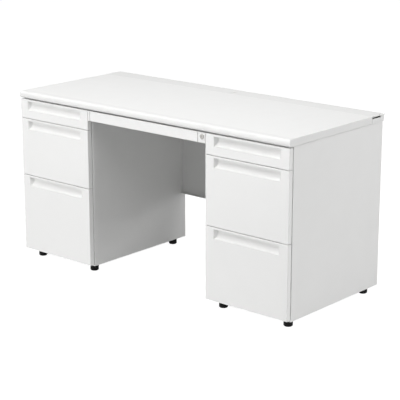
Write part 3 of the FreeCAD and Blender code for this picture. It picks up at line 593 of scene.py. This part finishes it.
def pan_head(radius, height):
    """A screw head that lies on the plane z = 0; its outline is in shares of its radius and height."""
    side = [(radius * across, height * up) for across, up in HEAD_OUTLINE]
    shape = turned([(0, 0)] + side + [(RECESS_RADIUS, height), (0, height)], HEAD_STEPS)
    top = [v for v in shape.verts if v.co.z > (height - NEAR) * MM]
    middle = [v for v in top if v.co.xy.length < NEAR * MM]
    rim = [v for v in top if NEAR * MM < v.co.xy.length < (RECESS_RADIUS + NEAR) * MM]
    waist = [v for v in rim if not on_column(v, HEAD_STEPS, STAR_EVERY)]
    bmesh.ops.scale(shape, vec=(STAR_WAIST, STAR_WAIST, 1), verts=waist)
    bmesh.ops.translate(shape, vec=(0, 0, -RECESS_DEPTH * MM), verts=middle)
    return shape


sample = pan_head(*SHEET_SCREW)
print("a screw head has", len(sample.faces), "faces")
sample.free()

# %% [markdown]
# ## Screws in their places
# Each drawer slide is screwed to its box, the back sheets are screwed to the folded sides, and the modesty
# panel is screwed to the two pedestals. The slides' screws ride with their drawers and keep their zinc. The
# others are painted over with the panels, so they show only as small bumps.

# %% Screws in the drawer slides
SCREW_SHARES = (0.09, 0.5, 0.9)
STAND_OFF = 50.0


def along(low, high, share):
    """A point between two ends."""
    return low + (high - low) * share


def slide_seats(node):
    """Seats for three screws in each channel of a pair, looked for from outside."""
    low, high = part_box(node)
    middle_z = (low.z + high.z) / 2
    seats = []
    for start_x, look in ((low.x - STAND_OFF * MM, 1), (high.x + STAND_OFF * MM, -1)):
        for share in SCREW_SHARES:
            start = (start_x, along(low.y, high.y, share), middle_z)
            seats.append(seat(node, start, (look, 0, 0)))
    return seats


count = 0
for drawer in drawers:
    seats = slide_seats(drawer + "_drawer_slides")
    count += len(seats)
    placed(drawer + "_slide_screws", pan_head(*SHEET_SCREW), seats, drawer + "_drawer", "zinc_steel")
print(count, "screws in the drawer slides")

# %% Screws in the back panels
BACK_SHARES = (0.04, 0.35, 0.66, 0.96)


def side_panels(side):
    """The two folded sides of a pedestal."""
    return [f"{side}_outer_side_panel", f"{side}_inner_side_panel"]


def middle_x(node):
    """The middle of a CAD piece across the desk."""
    low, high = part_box(node)
    return (low.x + high.x) / 2


low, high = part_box("pedestal_back_panels")
seats = []
for panel in side_panels("left") + side_panels("right"):
    for share in BACK_SHARES:
        start = (middle_x(panel), high.y + STAND_OFF * MM, along(low.z, high.z, share))
        seats.append(seat("pedestal_back_panels", start, (0, -1, 0)))
placed("back_panel_screws", pan_head(*SHEET_SCREW), seats, "desk", "panel_paint")
print(len(seats), "screws in the back panels")

# %% Screws in the modesty panel
MODESTY_SHARES = (0.08, 0.5, 0.92)

low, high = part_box("modesty_panel")
seats = []
for look in (-1, 1):
    for share in MODESTY_SHARES:
        start = (0, (low.y + high.y) / 2, along(low.z, high.z, share))
        seats.append(seat("modesty_panel", start, (look, 0, 0)))
placed("modesty_panel_screws", pan_head(*PANEL_SCREW), seats, "desk", "panel_paint")
print(len(seats), "screws in the modesty panel")

# %% [markdown]
# ## Drawer buffers
# A steel front would ring against its post, so each closes on two soft domes stuck to the posts. They nearly
# fill the gap between post and front and are seen only with the drawer open. A squashed sphere would do, but
# a turned outline gives the dome its flat back and straight foot.

# %% Buffers on the front posts
BUFFER_RADIUS = 4.0
BUFFER_PLAY = 0.2
BUFFER_OUTLINE = [(1.0, 0.0), (1.0, 0.3), (0.9, 0.65), (0.6, 0.92), (0.0, 1.0)]
BUFFER_STEPS = 20
BUFFER_SHARE = 0.75

seats = []
for drawer in drawers:
    low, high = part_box(drawer + "_drawer_front")
    height = along(low.z, high.z, BUFFER_SHARE)
    for panel in side_panels(drawer.split("_")[0]):
        start = (middle_x(panel), low.y - STAND_OFF * MM, height)
        seats.append(seat(panel, start, (0, 1, 0)))
post_face = seats[-1].translation.y
thick = (post_face - high.y) / MM - BUFFER_PLAY
dome = [(BUFFER_RADIUS * across, thick * up) for across, up in BUFFER_OUTLINE]
placed("drawer_buffers", turned([(0, 0)] + dome, BUFFER_STEPS), seats, "desk", "runner_plastic")
print(len(seats), "buffers", round(thick, 2), "mm thick")

# %% [markdown]
# ## Studio
# Product pictures of white furniture stand on white. Strong lamps on a white floor would do that, but they
# would wash out the desk too. So the floor and the world are white for the camera and for reflections alone,
# through the Light Path node, and the background adds no light to the desk. For all other rays the floor
# is a mid grey that bounces some light, and it keeps the desk's shadow.

# %% Floor
FLOOR_HALF = 30.0
FLOOR_GREY = "B4B4B4"
FLOOR_SHADE = "959595"
FLOOR_GLOW = 0.97
WHITE = linear("FFFFFF")

floor_mesh = bpy.data.meshes.new("studio_floor")
grid = bmesh.new()
bmesh.ops.create_grid(grid, x_segments=1, y_segments=1, size=FLOOR_HALF)
grid.to_mesh(floor_mesh)
grid.free()
floor = bpy.data.objects.new("studio_floor", floor_mesh)
bpy.context.scene.collection.objects.link(floor)


def seen_directly(tree):
    """1 for rays that show the background: from the camera, in a reflection or through glass."""
    path = add(tree, "ShaderNodeLightPath")
    either = add(tree, "ShaderNodeMath", {
        0: path.outputs["Is Camera Ray"], 1: path.outputs["Is Glossy Ray"]}, operation="MAXIMUM")
    any_of = add(tree, "ShaderNodeMath", {
        0: either.outputs["Value"], 1: path.outputs["Is Transmission Ray"]}, operation="MAXIMUM")
    return any_of.outputs["Value"]


floor_paint, tree = new_tree("studio_floor_paint")
bounce = add(tree, "ShaderNodeBsdfDiffuse", {"Color": linear(FLOOR_GREY)})
shadow = add(tree, "ShaderNodeBsdfDiffuse", {"Color": linear(FLOOR_SHADE)})
glow = add(tree, "ShaderNodeEmission", {"Color": WHITE, "Strength": FLOOR_GLOW})
white = add(tree, "ShaderNodeAddShader", {0: shadow.outputs["BSDF"], 1: glow.outputs["Emission"]})
mixed = add(tree, "ShaderNodeMixShader", {
    0: seen_directly(tree), 1: bounce.outputs["BSDF"], 2: white.outputs["Shader"]})
add(tree, "ShaderNodeOutputMaterial", {"Surface": mixed.outputs["Shader"]})
floor_mesh.materials.append(floor_paint)
print("floor", 2 * FLOOR_HALF, "m wide")

# %% World
WORLD_LIGHT = 0.09

world = bpy.data.worlds.new("studio_world")
bpy.context.scene.world = world
world.use_nodes = True
tree = world.node_tree
tree.nodes.clear()
air = add(tree, "ShaderNodeBackground", {"Color": WHITE, "Strength": WORLD_LIGHT})
backdrop = add(tree, "ShaderNodeBackground", {"Color": WHITE, "Strength": 1.0})
mixed = add(tree, "ShaderNodeMixShader", {
    0: seen_directly(tree), 1: air.outputs["Background"], 2: backdrop.outputs["Background"]})
add(tree, "ShaderNodeOutputWorld", {"Surface": mixed.outputs["Shader"]})
print("world light", WORLD_LIGHT)

# %% [markdown]
# ## Soft lamps
# Area lamps stand in for a photographer's softboxes. A lamp's size sets how soft its shadows are, and its
# distance how evenly it lights the desk. One stands in front, low enough to shine into the pulls, and so far
# to the left that the left pedestal keeps it out of the kneehole. One hangs high over the front of the
# desk. On the right, a softbox behind the plane of the fronts lights the side panel without reaching the
# fronts, and a weak strip just in front of that plane opens up the ends of the pulls. The rear lamp is for
# views from behind. It stands low, where the worktop mirrors little of it, and to the right, so that some
# of its light comes in under the modesty panel.

# %% Lamps
def softbox(name, place, aim, width, height, watts):
    """An area lamp at a place, turned to face a point, all in metres."""
    lamp = bpy.data.lights.new(name, "AREA")
    lamp.shape = "RECTANGLE"
    lamp.size = width
    lamp.size_y = height
    lamp.energy = watts
    holder = bpy.data.objects.new(name, lamp)
    holder.location = place
    holder.rotation_euler = (Vector(aim) - Vector(place)).to_track_quat("-Z", "Y").to_euler()
    bpy.context.scene.collection.objects.link(holder)
    print(name, watts, "W")


softbox("front_left_softbox", place=(-2.4, -5.6, 0.9), aim=(0, 0, 0.4), width=1.6, height=1.6, watts=149)
softbox("overhead_softbox", place=(0.1, -1.6, 4.0), aim=(0, -0.1, 0.7), width=3.6, height=3.6, watts=156)
softbox("right_softbox", place=(4.2, 0.6, 1.2), aim=(0.7, 0, 0.4), width=1.2, height=1.2, watts=43)
softbox("right_strip_softbox", place=(4.6, -0.53, 0.36), aim=(0, -0.25, 0.4),
        width=0.1, height=0.32, watts=20)
softbox("rear_softbox", place=(1.8, 5.2, 1.1), aim=(0, 0, 0.45), width=2.6, height=1.6, watts=72)

# %% [markdown]
# ## Camera
# The picture was taken from the front right, a little above the worktop, with a long lens. The place, the
# two angles and the lens were fitted to the desk's corners, so the render and the picture can be laid over
# each other.

# %% Camera
IMAGE_SIDE = 400
FOCAL_PIXELS = 1378.0
SENSOR_WIDTH = 36.0
CAMERA_PLACE = (3.530, -4.068, 1.801)
CAMERA_TURN = 40.73
CAMERA_TILT = 15.44

lens = bpy.data.cameras.new("camera")
lens.sensor_width = SENSOR_WIDTH
lens.lens = FOCAL_PIXELS / IMAGE_SIDE * SENSOR_WIDTH
camera = bpy.data.objects.new("camera", lens)
camera.location = CAMERA_PLACE
camera.rotation_euler = (math.radians(90 - CAMERA_TILT), 0, math.radians(CAMERA_TURN))
bpy.context.scene.collection.objects.link(camera)
bpy.context.scene.camera = camera
bpy.context.scene.view_settings.view_transform = "Standard"
print("lens", round(lens.lens, 1), "mm")
